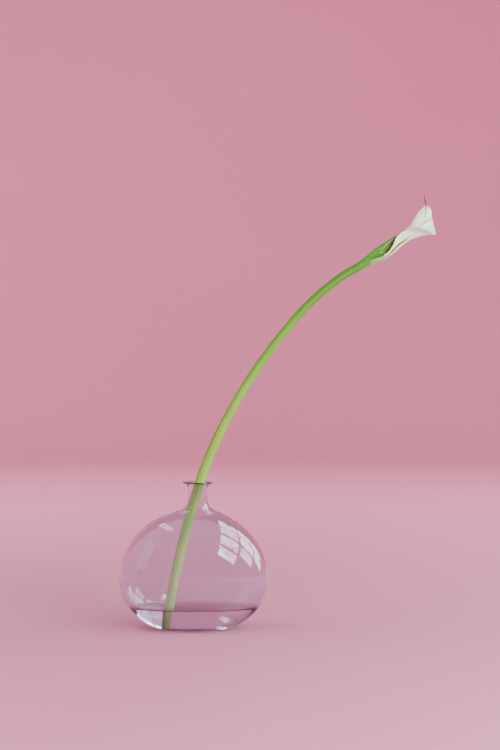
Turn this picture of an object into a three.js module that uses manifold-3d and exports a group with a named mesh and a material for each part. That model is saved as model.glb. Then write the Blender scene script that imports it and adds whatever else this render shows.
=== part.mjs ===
// Calla lily in a clear glass flask vase.
// Units are millimetres, +Z is up, +X is the side the flower leans to, and -Y is the front.
// The origin is the centre of the flat foot of the vase, on the ground.
import * as THREE from 'three';
import Module from 'manifold-3d';

// ---------------------------------------------------------------- driving sizes

// Vase: a round flask pressed flat, half as deep as it is wide, with a short neck.
const BODY_HALF_WIDTH = 82;
const DEPTH_RATIO = 0.5;
const BODY_CENTRE_Z = 53.7;
const BODY_RISE = 78.1;
const BODY_DROP = 61;
const FOOT_HALF_WIDTH = 33;
const WALL = 2.4;
const FLOOR_Z = 4.2;
const FLOOR_THICKENING = 0.1;
const FLOOR_BLEND_Z = 24;
const SHOULDER_Z = 125.5;
const NECK_OFFSET = 4;
const NECK_TOP_Z = 161.7;
const RING_SIDES = 56;
const OUTSIDE_LEVELS = [2, 5, 9, 14, 20, 27, 35, 44, 54, 64, 74, 84, 93, 101, 108, 114, 119.5, SHOULDER_Z];
const INSIDE_LEVELS = [122, 116, 108, 98, 87, 76, 64, 53, 43, 34];

// Neck and lip outside, from the shoulder up, as [radius, height].
const NECK_OUTSIDE = [
  [27.8, 127.2],
  [22.6, 129.2],
  [18.0, 131.0],
  [14.9, 133.0],
  [12.7, 135.8],
  [11.3, 139.4],
  [10.7, 143.5],
  [10.6, 149.5],
  [10.8, 154.0],
  [11.6, 156.7],
  [13.2, 158.3],
  [15.4, 159.1],
  [16.3, 159.8],
  [16.5, 160.7],
  [16.0, 161.5],
  [14.8, NECK_TOP_Z],
];

// Mouth and neck inside, from the lip down, as [radius, height].
const NECK_INSIDE = [
  [12.5, 161.3],
  [10.6, 159.8],
  [9.5, 157.2],
  [9.2, 153.5],
  [9.2, 144.5],
  [9.6, 140.2],
  [10.8, 136.2],
  [12.8, 133.0],
  [16.1, 130.2],
  [20.8, 127.8],
  [25.4, 125.6],
];

// Water: clear of the glass by a film's width, with a plain hole where the stem stands.
const WATER_Z = 24.3;
const WATER_CLEARANCE = 0.35;
const MENISCUS_RISE = 1.9;
const STEM_HOLE_CLEARANCE = 0.35;
const WET_LEVELS = [FLOOR_Z + 0.5, 5.8, 8.5, 13, 19, WATER_Z, WATER_Z + MENISCUS_RISE];

// Stem: a line through these points, as [x, y, z, radius].
const STEM_LINE = [
  [-29.2, -6.5, 5.0, 4.7],
  [-25.6, -5.6, 31.7, 5.0],
  [-15.6, -3.6, 81.2, 5.3],
  [-2.3, -1.4, 130.7, 5.5],
  [9.2, 0.0, 169.2, 5.4],
  [30.0, 1.0, 218.7, 5.1],
  [59.5, 2.0, 271.5, 4.75],
  [97.3, 2.0, 324.3, 4.6],
  [128.7, 1.2, 359.5, 4.5],
  [159.6, 0.4, 385.4, 4.5],
  [183.0, 0.0, 399.6, 4.45],
  [191.2, 0.0, 404.9, 3.9],
];
const STEM_SIDES = 22;
const STEM_RINGS = 44;

// Bloom: its own axis runs up and outward from the top of the stem.
const BLOOM_BASE = new THREE.Vector3(189.2, 0, 403.5);
const BLOOM_RISE_DEG = 34;
const SHEET_THICKNESS = 0.8;
const SHEET_START = -2;
const ROLL_STEP = 0.95;
const FLARE_START = 0.66;
const ALONG = 24;
const AROUND = 54;

// Tube of the rolled sheet, as [distance along the axis, radius, shift of its centre].
const TUBE = [
  [-2, 4.95, 0],
  [3, 5.25, 0],
  [10, 6.3, -0.2],
  [17, 7.5, -0.9],
  [24, 7.5, -0.9],
  [32, 7.1, -0.7],
  [42, 6.4, -0.4],
  [52, 5.9, -0.5],
  [62, 5.9, -0.8],
  [92, 6.2, -0.8],
];

// Free edges of the roll, as [distance along, outer edge angle, inner edge angle].
// Angle 0 faces the front, 90 the underside, 180 the back and 270 the upper side.
const ROLL_EDGES = [
  [-2, 3, 357],
  [5, 12, 368],
  [10, 20, 386],
  [22, 30, 404],
  [29, 16, 402],
  [36, -2, 394],
  [42, -22, 386],
  [50, -34, 374],
  [60, -36, 352],
  [92, -36, 340],
];

// Rim of the mouth in the bloom's own axes, as [share around, along, up, back].
const RIM = [
  [0.0, 59.0, 4.9, -9.2],
  [0.12, 68.0, -1.8, -10.9],
  [0.24, 75.4, -9.6, -8.8],
  [0.34, 79.8, -17.0, -2.0],
  [0.46, 84.2, -9.4, 5.0],
  [0.58, 88.8, -0.2, 8.0],
  [0.68, 92.3, 7.0, 7.4],
  [0.76, 90.4, 13.4, 4.2],
  [0.86, 78.0, 11.8, -1.4],
  [0.93, 66.0, 6.2, -4.4],
  [1.0, 57.0, 2.2, -5.6],
];

// Dried tip that stands on the apex, in the same axes, as [along, up, back, radius].
const TIP_LINE = [
  [88.4, 11.6, 4.8, 0.5],
  [90.6, 14.6, 4.6, 0.8],
  [92.2, 18.6, 4.4, 0.6],
  [93.4, 21.8, 4.5, 0.5],
  [96.2, 25.4, 5.0, 0.35],
];

// Spadix: the yellow spike in the throat, as [along, radius].
const SPADIX_PROFILE = [
  [3.2, 1.7],
  [8, 2.1],
  [20, 2.6],
  [36, 2.6],
  [47, 2.2],
  [52, 1.6],
  [54.6, 0.9],
];
const SPADIX_SIDES = 14;

// ---------------------------------------------------------------- small helpers

const clamp01 = (t) => Math.min(1, Math.max(0, t));

const smooth = (t) => {
  const s = clamp01(t);
  return s * s * (3 - 2 * s);
};

// Smooth curve through rows of [key, value, ...], read at any key.
function sample(rows, key, column) {
  const last = rows.length - 1;
  if (key <= rows[0][0]) return rows[0][column];
  if (key >= rows[last][0]) return rows[last][column];
  let i = 0;
  while (rows[i + 1][0] < key) i += 1;
  const before = rows[Math.max(0, i - 1)];
  const from = rows[i];
  const to = rows[i + 1];
  const after = rows[Math.min(last, i + 2)];
  const span = to[0] - from[0];
  const t = (key - from[0]) / span;
  const slopeFrom = ((to[column] - before[column]) / (to[0] - before[0])) * span;
  const slopeTo = ((after[column] - from[column]) / (after[0] - from[0])) * span;
  const t2 = t * t;
  const t3 = t2 * t;
  return (
    from[column] * (2 * t3 - 3 * t2 + 1) +
    slopeFrom * (t3 - 2 * t2 + t) +
    to[column] * (3 * t2 - 2 * t3) +
    slopeTo * (t3 - t2)
  );
}

function meshGeometry(positions, indices) {
  const geometry = new THREE.BufferGeometry();
  geometry.setAttribute('position', new THREE.Float32BufferAttribute(positions, 3));
  geometry.setIndex(indices);
  geometry.computeVertexNormals();
  return geometry;
}

// Closed skin over a list of rings that have the same number of points, with a point cap at each end.
function skin(rings, startCap, endCap) {
  const sides = rings[0].length;
  const positions = [];
  const indices = [];
  rings.forEach((ring) => ring.forEach((p) => positions.push(p.x, p.y, p.z)));
  const startIndex = rings.length * sides;
  positions.push(startCap.x, startCap.y, startCap.z);
  positions.push(endCap.x, endCap.y, endCap.z);
  for (let r = 0; r + 1 < rings.length; r += 1) {
    for (let i = 0; i < sides; i += 1) {
      const j = (i + 1) % sides;
      const a = r * sides + i;
      const b = r * sides + j;
      const c = (r + 1) * sides + j;
      const d = (r + 1) * sides + i;
      indices.push(a, b, c, a, c, d);
    }
  }
  const lastRing = (rings.length - 1) * sides;
  for (let i = 0; i < sides; i += 1) {
    const j = (i + 1) % sides;
    indices.push(startIndex, j, i);
    indices.push(startIndex + 1, lastRing + i, lastRing + j);
  }
  return meshGeometry(positions, indices);
}

// Round bar along a line of [x, y, z, radius], grown by a clearance where it is used as a cutter.
function bar(line, sides, count, grow) {
  const curve = new THREE.CatmullRomCurve3(
    line.map((p) => new THREE.Vector3(p[0], p[1], p[2])),
    false,
    'centripetal',
  );
  const frames = curve.computeFrenetFrames(count, false);
  const rings = [];
  for (let k = 0; k <= count; k += 1) {
    const share = k / count;
    const centre = curve.getPointAt(share);
    const knot = curve.getUtoTmapping(share) * (line.length - 1);
    const i = Math.min(line.length - 2, Math.floor(knot));
    const radius = THREE.MathUtils.lerp(line[i][3], line[i + 1][3], knot - i) + grow;
    const ring = [];
    for (let s = 0; s < sides; s += 1) {
      const angle = (2 * Math.PI * s) / sides;
      const offset = frames.normals[k].clone().multiplyScalar(radius * Math.cos(angle));
      offset.addScaledVector(frames.binormals[k], radius * Math.sin(angle));
      ring.push(centre.clone().add(offset));
    }
    rings.push(ring);
  }
  return skin(rings, curve.getPointAt(0), curve.getPointAt(1));
}

// ---------------------------------------------------------------- joining and cutting

const wasm = await Module();
wasm.setup();

function toSolid(geometry) {
  const plain = geometry.clone();
  plain.deleteAttribute('normal');
  const position = plain.getAttribute('position');
  const mesh = new wasm.Mesh({
    numProp: 3,
    vertProperties: new Float32Array(position.array),
    triVerts: new Uint32Array(plain.getIndex().array),
  });
  mesh.merge();
  return new wasm.Manifold(mesh);
}

function fromSolid(solid) {
  const mesh = solid.getMesh();
  return meshGeometry(Array.from(mesh.vertProperties), Array.from(mesh.triVerts));
}

// ---------------------------------------------------------------- vase and water

function flaskHalfWidth(z, inset) {
  const reach = z >= BODY_CENTRE_Z ? BODY_RISE - inset : BODY_DROP - inset;
  const t = (z - BODY_CENTRE_Z) / reach;
  return (BODY_HALF_WIDTH - inset) * Math.sqrt(Math.max(0, 1 - t * t));
}

function flaskHalfDepth(z, inset) {
  const half = BODY_HALF_WIDTH * DEPTH_RATIO - inset;
  return (flaskHalfWidth(z, inset) * half) / (BODY_HALF_WIDTH - inset);
}

const neckShift = (z) => NECK_OFFSET * smooth((z - 116) / 19);

const neckRoundness = (z) => DEPTH_RATIO + (1 - DEPTH_RATIO) * smooth((z - 124) / 19);

function ovalRing(halfWidth, halfDepth, z, shift) {
  const ring = [];
  for (let i = 0; i < RING_SIDES; i += 1) {
    const angle = (2 * Math.PI * i) / RING_SIDES;
    ring.push(new THREE.Vector3(shift + halfWidth * Math.cos(angle), halfDepth * Math.sin(angle), z));
  }
  return ring;
}

// Inside of the body: the wall is even, and it thickens into the floor.
function insideRing(z, clearance) {
  const slim = 1 - FLOOR_THICKENING * (1 - smooth((z - FLOOR_Z) / (FLOOR_BLEND_Z - FLOOR_Z)));
  return ovalRing(
    flaskHalfWidth(z, WALL) * slim - clearance,
    flaskHalfDepth(z, WALL) * slim - clearance,
    z,
    neckShift(z),
  );
}

function makeVase() {
  const rings = [];
  rings.push(ovalRing(FOOT_HALF_WIDTH, FOOT_HALF_WIDTH * DEPTH_RATIO, 0, 0));
  rings.push(ovalRing(FOOT_HALF_WIDTH + 2.8, (FOOT_HALF_WIDTH + 2.8) * DEPTH_RATIO, 0.5, 0));
  for (const z of OUTSIDE_LEVELS) {
    rings.push(ovalRing(flaskHalfWidth(z, 0), flaskHalfDepth(z, 0), z, neckShift(z)));
  }
  for (const [radius, z] of NECK_OUTSIDE) {
    rings.push(ovalRing(radius, radius * neckRoundness(z), z, neckShift(z)));
  }
  for (const [radius, z] of NECK_INSIDE) {
    rings.push(ovalRing(radius, radius * neckRoundness(z), z, neckShift(z)));
  }
  for (const z of INSIDE_LEVELS) {
    rings.push(insideRing(z, 0));
  }
  for (const z of [...WET_LEVELS].reverse()) {
    rings.push(insideRing(z, 0));
  }
  const floor = insideRing(FLOOR_Z + 0.5, 3);
  rings.push(floor.map((p) => new THREE.Vector3(p.x, p.y, FLOOR_Z)));
  return skin(rings, new THREE.Vector3(0, 0, 0), new THREE.Vector3(0, 0, FLOOR_Z));
}

function makeWater() {
  const lift = FLOOR_Z + WATER_CLEARANCE;
  const rings = [];
  const floor = insideRing(FLOOR_Z + 0.5, 3 + WATER_CLEARANCE);
  rings.push(floor.map((p) => new THREE.Vector3(p.x, p.y, lift)));
  for (const z of WET_LEVELS.slice(1)) {
    rings.push(insideRing(z, WATER_CLEARANCE + (z < 9 ? 0.5 : 0)));
  }
  const top = WATER_Z + MENISCUS_RISE;
  for (const [inset, share] of [[0.9, 0.42], [2.6, 0.12], [5.5, 0]]) {
    const ring = insideRing(top, WATER_CLEARANCE + inset);
    rings.push(ring.map((p) => new THREE.Vector3(p.x, p.y, WATER_Z + MENISCUS_RISE * share)));
  }
  const body = toSolid(skin(rings, new THREE.Vector3(0, 0, lift), new THREE.Vector3(0, 0, WATER_Z)));
  const hole = toSolid(bar(holeLine(), STEM_SIDES, 12, STEM_HOLE_CLEARANCE));
  return fromSolid(body.subtract(hole));
}

// The hole follows the foot of the stem and runs out below and above the water.
function holeLine() {
  const foot = STEM_LINE[0];
  const next = STEM_LINE[1];
  const drop = [0, 1, 2].map((i) => foot[i] - (next[i] - foot[i]) * 0.2);
  return [[...drop, foot[3]], foot, next, STEM_LINE[2]];
}

// ---------------------------------------------------------------- bloom

const RISE = THREE.MathUtils.degToRad(BLOOM_RISE_DEG);
const AXIS_ALONG = new THREE.Vector3(Math.cos(RISE), 0, Math.sin(RISE));
const AXIS_UP = new THREE.Vector3(-Math.sin(RISE), 0, Math.cos(RISE));
const AXIS_BACK = new THREE.Vector3(0, 1, 0);

function bloomPoint(along, up, back) {
  const point = BLOOM_BASE.clone();
  point.addScaledVector(AXIS_ALONG, along);
  point.addScaledVector(AXIS_UP, up);
  point.addScaledVector(AXIS_BACK, back);
  return point;
}

// Middle surface of the sheet. The first number runs up the funnel and the second around the roll.
function sheetPoint(upShare, roundShare) {
  const rimAlong = sample(RIM, roundShare, 1);
  const along = SHEET_START + (rimAlong - SHEET_START) * upShare;
  const outer = sample(ROLL_EDGES, along, 1);
  const inner = sample(ROLL_EDGES, along, 2);
  const angle = THREE.MathUtils.degToRad(THREE.MathUtils.lerp(outer, inner, roundShare));
  const lifted = 1.1 * Math.exp(-roundShare / 0.05) * smooth((along - 16) / 12);
  const step = ROLL_STEP * smooth(along / 9);
  const radius = sample(TUBE, along, 1) + step * (1 - 2 * roundShare) + lifted;
  const tubeUp = sample(TUBE, along, 2) - radius * Math.sin(angle);
  const tubeBack = -radius * Math.cos(angle);
  const power = 1.9 - 1.0 * Math.exp(-(((roundShare - 0.8) / 0.13) ** 2));
  const flare = clamp01((upShare - FLARE_START) / (1 - FLARE_START)) ** power;
  const up = THREE.MathUtils.lerp(tubeUp, sample(RIM, roundShare, 2), flare);
  const back = THREE.MathUtils.lerp(tubeBack, sample(RIM, roundShare, 3), flare);
  return bloomPoint(along, up, back);
}

function sheetNormal(upShare, roundShare) {
  const step = 0.004;
  const u0 = Math.max(0, upShare - step);
  const u1 = Math.min(1, upShare + step);
  const v0 = Math.max(0, roundShare - step);
  const v1 = Math.min(1, roundShare + step);
  const alongEdge = sheetPoint(u1, roundShare).sub(sheetPoint(u0, roundShare));
  const roundEdge = sheetPoint(upShare, v1).sub(sheetPoint(upShare, v0));
  return roundEdge.cross(alongEdge).normalize();
}

function makeSheet() {
  const columns = AROUND + 1;
  const layer = columns * (ALONG + 1);
  const positions = [];
  const indices = [];
  for (const side of [1, -1]) {
    for (let k = 0; k <= ALONG; k += 1) {
      for (let i = 0; i <= AROUND; i += 1) {
        const upShare = k / ALONG;
        const roundShare = i / AROUND;
        const point = sheetPoint(upShare, roundShare);
        point.addScaledVector(sheetNormal(upShare, roundShare), (side * SHEET_THICKNESS) / 2);
        positions.push(point.x, point.y, point.z);
      }
    }
  }
  const quad = (a, b, c, d) => indices.push(a, b, c, a, c, d);
  for (let k = 0; k < ALONG; k += 1) {
    for (let i = 0; i < AROUND; i += 1) {
      const a = k * columns + i;
      quad(a, a + 1, a + 1 + columns, a + columns);
      quad(layer + a, layer + a + columns, layer + a + 1 + columns, layer + a + 1);
    }
  }
  for (let i = 0; i < AROUND; i += 1) {
    const rim = ALONG * columns + i;
    quad(i, layer + i, layer + i + 1, i + 1);
    quad(rim, rim + 1, layer + rim + 1, layer + rim);
  }
  for (let k = 0; k < ALONG; k += 1) {
    const outer = k * columns;
    const inner = k * columns + AROUND;
    quad(outer, outer + columns, layer + outer + columns, layer + outer);
    quad(inner, layer + inner, layer + inner + columns, inner + columns);
  }
  return meshGeometry(positions, indices);
}

function makeSpathe() {
  const tipLine = TIP_LINE.map(([along, up, back, radius]) => {
    const p = bloomPoint(along, up, back);
    return [p.x, p.y, p.z, radius];
  });
  const tip = toSolid(bar(tipLine, 10, 12, 0));
  return fromSolid(toSolid(makeSheet()).add(tip));
}

function makeSpadix() {
  const rings = SPADIX_PROFILE.map(([along, radius]) => {
    const ring = [];
    for (let i = 0; i < SPADIX_SIDES; i += 1) {
      const angle = (2 * Math.PI * i) / SPADIX_SIDES;
      ring.push(bloomPoint(along, -0.4 - radius * Math.sin(angle), -radius * Math.cos(angle)));
    }
    return ring;
  });
  const last = SPADIX_PROFILE[SPADIX_PROFILE.length - 1][0];
  return skin(rings, bloomPoint(SPADIX_PROFILE[0][0], -0.4, 0), bloomPoint(last + 0.5, -0.4, 0));
}

// ---------------------------------------------------------------- assembly

const MATERIALS = {
  glass: { color: 0xdfe6ea, roughness: 0.03, metalness: 0, transparent: true, opacity: 0.35 },
  water: { color: 0xd5e3ea, roughness: 0.02, metalness: 0, transparent: true, opacity: 0.5 },
  stem: { color: 0x7d9a3c, roughness: 0.45, metalness: 0 },
  spathe: { color: 0xf3f1e8, roughness: 0.5, metalness: 0 },
  spadix: { color: 0xe2bf4a, roughness: 0.75, metalness: 0 },
};

function part(name, geometry, material) {
  const mesh = new THREE.Mesh(geometry, new THREE.MeshStandardMaterial(material));
  mesh.name = name;
  return mesh;
}

const group = new THREE.Group();
group.name = 'lily_in_vase';
group.add(part('vase', makeVase(), MATERIALS.glass));
group.add(part('water', makeWater(), MATERIALS.water));
group.add(part('stem', bar(STEM_LINE, STEM_SIDES, STEM_RINGS, 0), MATERIALS.stem));
group.add(part('spathe', makeSpathe(), MATERIALS.spathe));
group.add(part('spadix', makeSpadix(), MATERIALS.spadix));

export default group;
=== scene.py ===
"""Looks of the calla lily in a glass flask: fine meshes, materials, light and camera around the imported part.

Sizes are in millimetres until a mesh is finished. +Z is up, +X is the side that the flower leans to, and -Y
is the front.
"""

from __future__ import annotations

import logging
import math
from dataclasses import dataclass, field
from enum import Enum
from typing import Callable, Sequence

import bpy
from mathutils import Matrix, Vector, noise

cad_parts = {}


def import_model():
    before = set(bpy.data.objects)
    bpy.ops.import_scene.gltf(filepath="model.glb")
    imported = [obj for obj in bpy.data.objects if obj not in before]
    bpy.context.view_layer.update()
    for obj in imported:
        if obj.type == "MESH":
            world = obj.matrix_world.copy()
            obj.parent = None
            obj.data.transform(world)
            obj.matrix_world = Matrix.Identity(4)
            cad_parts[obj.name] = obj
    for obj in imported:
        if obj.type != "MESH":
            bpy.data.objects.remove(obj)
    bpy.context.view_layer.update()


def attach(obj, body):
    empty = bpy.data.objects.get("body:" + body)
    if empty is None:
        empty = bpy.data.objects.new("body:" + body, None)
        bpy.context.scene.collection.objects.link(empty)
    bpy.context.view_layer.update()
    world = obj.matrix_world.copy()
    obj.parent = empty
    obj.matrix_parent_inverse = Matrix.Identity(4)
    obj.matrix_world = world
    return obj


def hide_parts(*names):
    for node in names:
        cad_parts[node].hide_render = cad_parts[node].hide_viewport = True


LOG = logging.getLogger("lily_in_vase")
MM = 0.001
# Points closer than this, in millimetres, become one, where a piece has no distance of its own.
MERGE_MM = 0.004
# A mix node's sockets that have no name of their own: its share, its two plain values and its two results.
MIX_SHARE, MIX_LOW, MIX_HIGH = 0, 2, 3
MIXED_VALUE, MIXED_COLOUR = 0, 2

Row = tuple[float, ...]
Span = tuple[float, float]
Outline = list[tuple[float, float]]
Stops = tuple[tuple[float, str], ...]


# ------------------------------------------------------------------ small helpers


def smooth(t: float) -> float:
    """Eases t from 0 to 1 and holds it outside that range."""
    s = min(1.0, max(0.0, t))
    return s * s * (3.0 - 2.0 * s)


def eased(t: float, start: float, end: float) -> float:
    """0 at start, 1 at end, held outside them, and soft between. End may lie below start."""
    return smooth((t - start) / (end - start))


def bell(t: float, centre: float, width: float) -> float:
    """A soft bump of height 1 at centre, about width wide on each side."""
    return math.exp(-(((t - centre) / width) ** 2))


def blend(low: float, high: float, share: float) -> float:
    """The value that lies share of the way from low to high."""
    return low + (high - low) * share


def per_metre(size_mm: float) -> float:
    """How many times a pattern of this size repeats in a metre, as a texture's scale asks."""
    return 1.0 / (size_mm * MM)


def sample(rows: Sequence[Row], key: float, column: int) -> float:
    """Reads a smooth curve through rows of (key, value, ...).

    Args:
        rows: The rows, in rising order of their first number.
        key: Where to read.
        column: Which number of the rows to read.

    Returns:
        The value at key, held at the ends.
    """
    last = len(rows) - 1
    if key <= rows[0][0]:
        return rows[0][column]
    if key >= rows[last][0]:
        return rows[last][column]
    i = 0
    while rows[i + 1][0] < key:
        i += 1
    before, start, end, after = rows[max(0, i - 1)], rows[i], rows[i + 1], rows[min(last, i + 2)]
    span = end[0] - start[0]
    t = (key - start[0]) / span
    slope_in = (end[column] - before[column]) / (end[0] - before[0]) * span
    slope_out = (after[column] - start[column]) / (after[0] - start[0]) * span
    return (
        start[column] * (2 * t**3 - 3 * t**2 + 1)
        + slope_in * (t**3 - 2 * t**2 + t)
        + end[column] * (3 * t**2 - 2 * t**3)
        + slope_out * (t**3 - t**2)
    )


def linear_colour(code: str) -> tuple[float, float, float, float]:
    """Turns an sRGB hex colour into the linear one that the shaders take.

    Args:
        code: Six hex digits after a #.

    Returns:
        Linear red, green and blue, and a full alpha.
    """
    parts = [int(code[i : i + 2], 16) / 255 for i in (1, 3, 5)]
    red, green, blue = (c / 12.92 if c <= 0.04045 else ((c + 0.055) / 1.055) ** 2.4 for c in parts)
    return (red, green, blue, 1.0)


def deselect_all() -> None:
    """Leaves edit mode and deselects every object."""
    if bpy.context.object and bpy.context.object.mode != "OBJECT":
        bpy.ops.object.mode_set(mode="OBJECT")
    bpy.ops.object.select_all(action="DESELECT")


def make_active(piece: bpy.types.Object) -> None:
    """Selects one object alone and makes it the active one.

    Args:
        piece: The object.
    """
    deselect_all()
    piece.select_set(True)
    bpy.context.view_layer.objects.active = piece


def edit_merged(piece: bpy.types.Object, merge_mm: float) -> None:
    """Opens a piece in edit mode, all selected, and merges its doubled points.

    Args:
        piece: The mesh object.
        merge_mm: Points closer than this become one.
    """
    make_active(piece)
    bpy.ops.object.mode_set(mode="EDIT")
    bpy.ops.mesh.select_all(action="SELECT")
    bpy.ops.mesh.remove_doubles(threshold=merge_mm * MM)


def face_outwards(piece: bpy.types.Object, merge_mm: float = MERGE_MM) -> None:
    """Merges doubled points, turns every face outwards and shades them smooth.

    Args:
        piece: The mesh object to clean.
        merge_mm: Points closer than this become one.
    """
    edit_merged(piece, merge_mm)
    bpy.ops.mesh.normals_make_consistent(inside=False)
    bpy.ops.object.mode_set(mode="OBJECT")
    bpy.ops.object.shade_smooth()


def rolled_grid(around: int, along: int, skin: Callable[[int, float], Vector]) -> bpy.types.Object:
    """Rolls a flat grid into a tube. Its UV map runs round the tube in U and along it in V.

    Args:
        around: How many steps the tube has round itself.
        along: How many steps it has along its line.
        skin: The point, in millimetres, at a step along the line and an angle round it.

    Returns:
        The tube, open at its seam and at both ends.
    """
    deselect_all()
    bpy.ops.mesh.primitive_grid_add(x_subdivisions=around, y_subdivisions=along, size=1.0)
    piece = bpy.context.object
    for vertex in piece.data.vertices:
        step = round((vertex.co.y + 0.5) * along)
        vertex.co = skin(step, 2 * math.pi * (vertex.co.x + 0.5)) * MM
    return piece


def select_ends(piece: bpy.types.Object, merge_mm: float) -> None:
    """Joins a tube's seam and stays in edit mode with only its open ends selected.

    Args:
        piece: The tube.
        merge_mm: Points closer than this become one.
    """
    edit_merged(piece, merge_mm)
    bpy.ops.mesh.select_all(action="DESELECT")
    bpy.ops.mesh.select_non_manifold()


def add_piece(piece: bpy.types.Object, name: str, finish: bpy.types.Material) -> None:
    """Names a finished piece, gives it its material and hangs it on the frame.

    Args:
        piece: The mesh object.
        name: Its name in the scene.
        finish: Its material.
    """
    piece.name = name
    piece.data.name = name
    piece.data.materials.clear()
    piece.data.materials.append(finish)
    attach(piece, "root")
    LOG.info("%s: %d faces", name, len(piece.data.polygons))


def plug(tree: bpy.types.NodeTree, node: bpy.types.Node, inputs: dict[object, object]) -> None:
    """Gives a node's sockets their values and links.

    Args:
        tree: The node tree.
        node: The node.
        inputs: Socket name or number, to a value or to the socket that feeds it.
    """
    for key, value in inputs.items():
        if isinstance(value, bpy.types.NodeSocket):
            tree.links.new(value, node.inputs[key])
        else:
            node.inputs[key].default_value = value


def add_node(
    tree: bpy.types.NodeTree, kind: str, inputs: dict[object, object] | None = None, **settings: object
) -> bpy.types.Node:
    """Adds one node to a material, with its settings, values and links.

    Args:
        tree: The node tree to add to.
        kind: The node's type name.
        inputs: Socket name or number, to a value or to the socket that feeds it.
        **settings: Attributes of the node. stops is a list of (place, hex colour) for a colour ramp.

    Returns:
        The new node.
    """
    node = tree.nodes.new(kind)
    for key, value in settings.items():
        if key == "stops":
            elements = node.color_ramp.elements
            while len(elements) > 1:
                elements.remove(elements[-1])
            elements[0].position = value[0][0]
            elements[0].color = linear_colour(value[0][1])
            for place, code in value[1:]:
                elements.new(place).color = linear_colour(code)
        else:
            setattr(node, key, value)
    plug(tree, node, inputs or {})
    return node


def new_material(name: str) -> tuple[bpy.types.Material, bpy.types.NodeTree, bpy.types.Node]:
    """Makes a material with one main shader.

    Args:
        name: The name of the real material.

    Returns:
        The material, its node tree and its Principled shader.
    """
    material = bpy.data.materials.new(name)
    material.use_nodes = True
    tree = material.node_tree
    tree.nodes.clear()
    shader = add_node(tree, "ShaderNodeBsdfPrincipled")
    add_node(tree, "ShaderNodeOutputMaterial", {"Surface": shader.outputs["BSDF"]})
    return material, tree, shader


# ------------------------------------------------------------------ finishes


@dataclass(frozen=True)
class BlownGlass:
    """Clear soda-lime glass, blown in a mould and polished by the flame.

    The polish gives sharp reflections. Slow waves in the skin bend them, and what shows through the wall.
    """

    tint: str = "#EBF1F8"
    ior: float = 1.5
    shine: float = 0.75
    wave_mm: float = 38.0
    wave_strength: float = 0.05

    def make(self) -> bpy.types.Material:
        """Makes the clear, wavy glass.

        Returns:
            The material.
        """
        material, tree, shader = new_material("blown_soda_lime_glass")
        place = add_node(tree, "ShaderNodeTexCoord").outputs["Object"]
        scale = per_metre(self.wave_mm)
        waves = add_node(tree, "ShaderNodeTexNoise", {"Vector": place, "Scale": scale, "Detail": 1.0})
        relief = {"Height": waves.outputs["Fac"], "Strength": self.wave_strength, "Distance": 2.0 * MM}
        dress = {
            "Base Color": linear_colour(self.tint),
            "Roughness": 0.0,
            "IOR": self.ior,
            "Specular IOR Level": self.shine,
            "Transmission Weight": 1.0,
            "Normal": add_node(tree, "ShaderNodeBump", relief).outputs["Normal"],
        }
        plug(tree, shader, dress)
        return material


@dataclass(frozen=True)
class StillWater:
    """Clear tap water: a smooth skin that bends light less than the glass around it."""

    tint: str = "#F3F8F9"
    ior: float = 1.333
    swell_mm: float = 45.454545

    def make(self) -> bpy.types.Material:
        """Makes the water, with the faintest unevenness in its surface.

        Returns:
            The material.
        """
        material, tree, shader = new_material("still_water")
        place = add_node(tree, "ShaderNodeTexCoord").outputs["Object"]
        scale = per_metre(self.swell_mm)
        swell = add_node(tree, "ShaderNodeTexNoise", {"Vector": place, "Scale": scale, "Detail": 0.0})
        relief = {"Height": swell.outputs["Fac"], "Strength": 0.03, "Distance": 1.0 * MM}
        dress = {
            "Base Color": linear_colour(self.tint),
            "Roughness": 0.0,
            "IOR": self.ior,
            "Transmission Weight": 1.0,
            "Normal": add_node(tree, "ShaderNodeBump", relief).outputs["Normal"],
        }
        plug(tree, shader, dress)
        return material


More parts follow.
